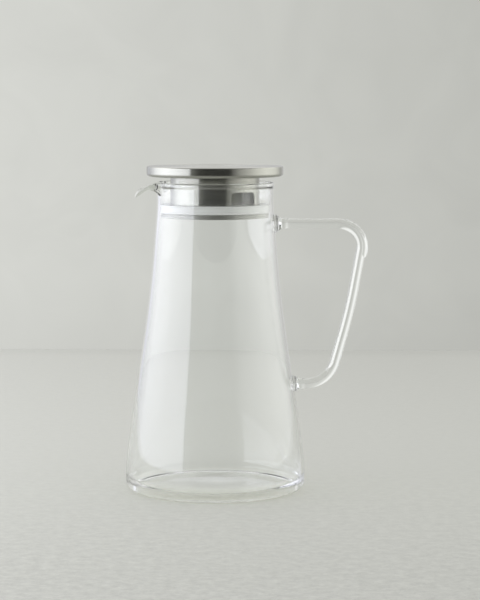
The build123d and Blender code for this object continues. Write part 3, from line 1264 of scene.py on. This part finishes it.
seal_outline = rounded(
    [
        (seal_bore, seal_low.z, soft_edge),
        (tongue_radius, seal_low.z, soft_edge),
        (tongue_radius, seal_foot, 0),
        (seal_high.x, seal_foot, rib_edge),
        (seal_high.x, seal_foot + seal_rib_height, rib_edge),
        (seal_grip, seal_foot + seal_rib_height, 0),
        (seal_grip, seal_high.z - seal_rib_height, 0),
        (seal_high.x, seal_high.z - seal_rib_height, rib_edge),
        (seal_high.x, seal_high.z, rib_edge),
        (seal_bore, seal_high.z, soft_edge),
    ]
)
seal = turned("seal", seal_outline)
seal.data.materials.append(milky_silicone)

# %% [markdown]
# ## Channel ring
#
# A pressed steel ring under the silicone closes the lid from below. It is a shallow channel
# with a beaded lower edge, and the collar stands in its middle. It takes the duller steel.

# %% Channel ring
sheet = 0.8 * mm
channel_outer = ring_high.x - 0.5 * mm
channel_passage = 33.5 * mm
channel_floor = ring_low.z + sheet
channel_top = ring_high.z
bead_top = ring_low.z + 1.6 * mm
bead_edge = 0.45 * mm
sheet_edge = 0.25 * mm
fold_edge = 0.15 * mm

channel_outline = rounded(
    [
        (channel_passage, ring_low.z, sheet_edge),
        (ring_high.x, ring_low.z, bead_edge),
        (ring_high.x, bead_top, bead_edge),
        (channel_outer, bead_top, fold_edge),
        (channel_outer, channel_top, sheet_edge),
        (channel_outer - sheet, channel_top, sheet_edge),
        (channel_outer - sheet, channel_floor, fold_edge),
        (channel_passage, channel_floor, sheet_edge),
    ]
)
channel_ring = turned("channel_ring", channel_outline)
channel_ring.data.materials.append(pressed_steel)

# %% [markdown]
# ## Collar
#
# The collar is a thin steel tube that reaches down through the silicone. A flange turned in at
# its top is welded to the plate of the cap. It is turned whole, and its openings are cut later.

# %% Collar
collar_outer = collar_high.y
collar_inner = collar_outer - sheet
flange_width = 5.0 * mm
flange_inner = collar_inner - flange_width
cut_edge = 0.2 * mm
flange_edge = 0.35 * mm
flange_fold = 0.3 * mm

collar_outline = rounded(
    [
        (collar_inner, collar_low.z, cut_edge),
        (collar_outer, collar_low.z, cut_edge),
        (collar_outer, collar_high.z, flange_edge),
        (flange_inner, collar_high.z, cut_edge),
        (flange_inner, collar_high.z - sheet, cut_edge),
        (collar_inner, collar_high.z - sheet, flange_fold),
    ]
)
collar = turned("collar", collar_outline)

# %% [markdown]
# ## Cutters that follow the tube
#
# The collar has a window to pour through, and a strainer of small holes on the far side. Both
# are cut with a Boolean. A straight cutter would leave knife edges, so each cutter follows the
# curve of the tube and opens out a little near the outer face: that leaves a narrow chamfer,
# which shows as a bright line round the opening.

# %% Curved cutters
chamfer = 0.15 * mm
cutter_inside = 2 * sheet
cutter_outside = 5 * sheet


def curved_cutter(name, outlines):
    """Closed plugs through the collar, each from an outline of (way round, height) in metres."""
    vertices = []
    faces = []
    depths = [
        (collar_inner - cutter_inside, 0),
        (collar_outer - chamfer, 0),
        (collar_outer + chamfer, 2 * chamfer),
        (collar_outer + cutter_outside, 2 * chamfer),
    ]
    for outline in outlines:
        middle = Vector(np.mean(outline, axis=0))
        first = len(vertices)
        count = len(outline)
        for radius, growth in depths:
            for way, height in outline:
                spread = (Vector((way, height)) - middle).normalized() * growth
                angle = (way + spread.x) / collar_outer
                vertices.append(around(radius, angle, height + spread.y))
        last = len(vertices) - count
        faces.append(tuple(reversed(range(first, first + count))))
        faces += rings_of_faces(count, len(depths), first)
        faces.append(tuple(range(last, last + count)))
    return made_piece(name, vertices, faces)


# %% [markdown]
# ## Window and strainer
#
# Both are drawn flat, as if the tube were unrolled. The window's long edges are divided finely,
# so that they bend with the tube. The holes of the strainer stand in staggered rows, as they
# do in a punched sheet, opposite the window: half a turn of the lid changes one for the other.

# %% Window and strainer
window_bearing = math.radians(-49.5)
window_half_angle = math.radians(19.5)
window_height = 10.3 * mm
window_rounding = 3.2 * mm
window_foot = seal_high.z
window_step = 0.5 * mm
hole_radius = 1.3 * mm
hole_pitch = 3.9 * mm
hole_lift = 2.4 * mm
hole_rows = 3
hole_columns = 7
hole_sides = 24
opening_crease = math.radians(30)


def window_outline():
    """The window, open to the ring below, with its two upper corners rounded."""
    bearing = window_bearing * collar_outer
    half = window_half_angle * collar_outer
    below = window_foot - hole_radius
    top = window_foot + window_height
    sides = rounded(
        [
            (-half, below, 0),
            (half, below, 0),
            (half, top, window_rounding),
            (-half, top, window_rounding),
        ]
    )
    fine = []
    for (x0, z0), (x1, z1) in zip(sides, sides[1:] + sides[:1]):
        pieces = max(1, math.ceil(math.hypot(x1 - x0, z1 - z0) / window_step))
        for index in range(pieces):
            t = index / pieces
            fine.append((bearing + x0 + (x1 - x0) * t, z0 + (z1 - z0) * t))
    return fine


def strainer_outlines():
    """Round holes in staggered rows, opposite the window."""
    outlines = []
    for row in range(hole_rows):
        height = window_foot + hole_lift + row * hole_pitch * math.sqrt(3) / 2
        for column in range(hole_columns):
            place = column - (hole_columns - 1) / 2 + (row % 2) / 2
            way = (window_bearing + math.pi) * collar_outer + place * hole_pitch
            outlines.append(arc_points((way, height), hole_radius, 0, 2 * math.pi, hole_sides)[:-1])
    return outlines


cutter = curved_cutter("cutter", [window_outline(), *strainer_outlines()])
combined(collar, "DIFFERENCE", cutter)
collar.data.set_sharp_from_angle(angle=opening_crease)
collar.data.materials.append(brushed_steel)
print("collar", len(collar.data.polygons), "faces")

# %% [markdown]
# ## Cap
#
# The cap is drawn from one sheet: a flat top, a low upright side and an edge that rolls in
# underneath. A plain plate closes it from below and carries the collar.

# %% Cap and liner
cap_radius = cap_high.x
top_rounding = 1.0 * mm
low_rounding = 2.4 * mm
rolled_width = 5.0 * mm
inner_radius = cap_radius - sheet
cap_lip_inner = inner_radius - rolled_width
liner_radius = liner_high.x

cap_outline = rounded(
    [
        (0, cap_high.z, 0),
        (cap_radius, cap_high.z, top_rounding),
        (cap_radius, cap_low.z, low_rounding),
        (cap_lip_inner, cap_low.z, fold_edge),
        (cap_lip_inner, cap_low.z + sheet, fold_edge),
        (inner_radius, cap_low.z + sheet, low_rounding - sheet),
        (inner_radius, cap_high.z - sheet, cut_edge),
        (0, cap_high.z - sheet, 0),
    ]
)
cap = turned("cap", cap_outline, closed=False)
cap.data.materials.append(brushed_steel)
liner_outline = rounded(
    [
        (0, liner_low.z, 0),
        (liner_radius, liner_low.z, cut_edge),
        (liner_radius, liner_high.z, cut_edge),
        (0, liner_high.z, 0),
    ]
)
liner = turned("liner", liner_outline, closed=False)
liner.data.materials.append(brushed_steel)

# %% [markdown]
# ## Riding on the bodies
#
# Each piece is tied to the body that it moves with, and stands in for the measured solids that it
# shows, which are hidden. The table also lists the finish of each piece, which the loop leaves
# unused.

# %% Bodies, replaced nodes and finishes
pieces = [
    (jug_glass, "jug", ("glass_body",), "clear_glass"),
    (rod, "jug", ("glass_handle", "upper_gather", "lower_gather"), "clear_glass"),
    (seal, "seal", ("seal_ring",), "silicone"),
    (channel_ring, "lid", ("base_ring",), "steel"),
    (collar, "lid", ("pour_collar",), "steel"),
    (liner, "lid", ("cap_liner",), "steel"),
    (cap, "lid", ("lid_cap",), "steel"),
]
for piece, body, nodes, finish in pieces:
    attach(piece, body)
    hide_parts(*nodes)

# %% [markdown]
# ## Sizes at the end
#
# The finished model has to keep the size of the measured one, so both boxes are printed.

# %% Sizes and finish
made_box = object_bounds()
boxes = {
    "cad": [list(corner) for corner in cad_box],
    "made": [list(corner) for corner in made_box],
}
for name, (low, high) in boxes.items():
    print(name, [round(v / mm, 2) for v in low], [round(v / mm, 2) for v in high])
